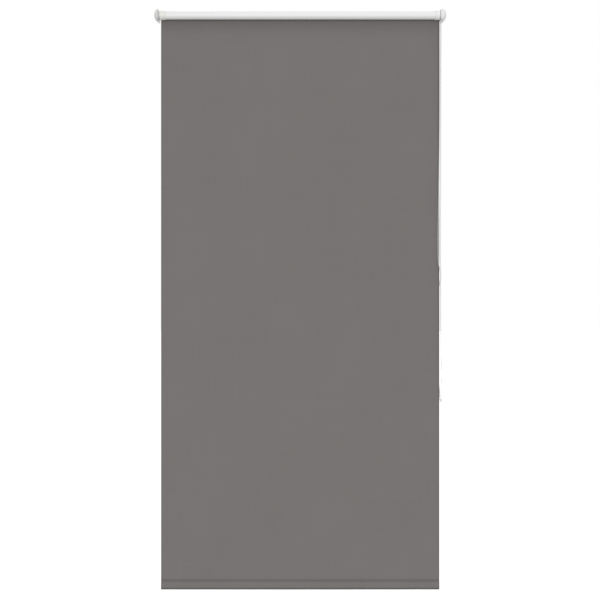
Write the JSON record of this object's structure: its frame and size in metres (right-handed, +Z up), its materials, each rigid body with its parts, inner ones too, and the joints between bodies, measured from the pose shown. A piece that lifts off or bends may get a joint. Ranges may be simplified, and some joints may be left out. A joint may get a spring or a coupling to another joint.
{
  "type": "roller blind",
  "caption": "Chain-operated roller blind: a fabric sheet on a tube, wall brackets with domed end covers, a weighted hem and a bead-chain loop.",
  "frame": {"origin": "middle of the wall screw pattern on the wall's face, halfway along the blind and level with the roller's axis", "axes": "+X along the width towards the chain end, +Y towards the wall, +Z up"},
  "size_m": [1.1558, 0.062, 2.3068],
  "materials": {
    "fabric": "plain woven blackout cloth, warm grey, very fine weave",
    "tube_white": "satin white powder coat on extruded tube",
    "bracket_paint": "white powder coat on pressed steel",
    "white_plastic": "white moulded plastic, satin",
    "pale_plastic": "pale grey moulded plastic, satin",
    "cream_plastic": "pale cream moulded plastic, satin",
    "grey_plastic": "grey moulded plastic, matt",
    "chain_plastic": "off-white ball chain, slightly glossy",
    "steel": "zinc-plated sheet and wire",
    "bar_aluminium": "mill-finish extruded bar"
  },
  "bodies": {
    "root": {"bracket_left": "bracket_paint", "bracket_right": "bracket_paint", "bracket_bush": "pale_plastic", "cover_left": "pale_plastic", "cover_right": "white_plastic", "clutch_housing": "white_plastic", "clutch_hub": "grey_plastic", "hub_clip": "steel", "hub_screw": "steel", "bead_chain": "chain_plastic", "chain_connector": "chain_plastic", "chain_wrap": "chain_plastic", "fabric_panel": "fabric"},
    "roller": {"roller_tube": "tube_white", "fabric_spline": "grey_plastic", "drive_crown": "white_plastic", "idler_plug": "cream_plastic", "idler_cap": "cream_plastic", "wrap_springs": "steel", "idler_spring": "steel"},
    "sprocket": {"chain_wheel": "white_plastic"},
    "sprung_pin": {"idler_pin": "steel"},
    "hem_bar": {"bottom_bar": "bar_aluminium", "bottom_bar_cap_left": "grey_plastic", "bottom_bar_cap_right": "grey_plastic", "hem_pocket": "fabric"}
  },
  "joints": [
    {"name": "lift", "type": "slide", "parent": "root", "child": "hem_bar", "axis": [0, 0, 1], "range_m": [0, 2.126], "deforming": ["fabric_panel", "chain_wrap"]},
    {"name": "roller_spin", "type": "hinge", "parent": "root", "child": "roller", "pos_m": [0, -0.038, 0], "axis": [1, 0, 0], "range_deg": [0, 6480]},
    {"name": "wheel_spin", "type": "hinge", "parent": "root", "child": "sprocket", "pos_m": [0.5563, -0.038, 0], "axis": [1, 0, 0], "range_deg": [0, 6480]},
    {"name": "pin_slide", "type": "slide", "parent": "roller", "child": "sprung_pin", "axis": [1, 0, 0], "range_m": [0, 0.006], "stiffness_N_per_m": 400, "springref_m": -0.004, "deforming": ["idler_spring"]}
  ],
  "couplings": [
    {"joint": "roller_spin", "follows": "lift", "rad_per_m": 53.197},
    {"joint": "wheel_spin", "follows": "lift", "rad_per_m": 53.197}
  ]
}
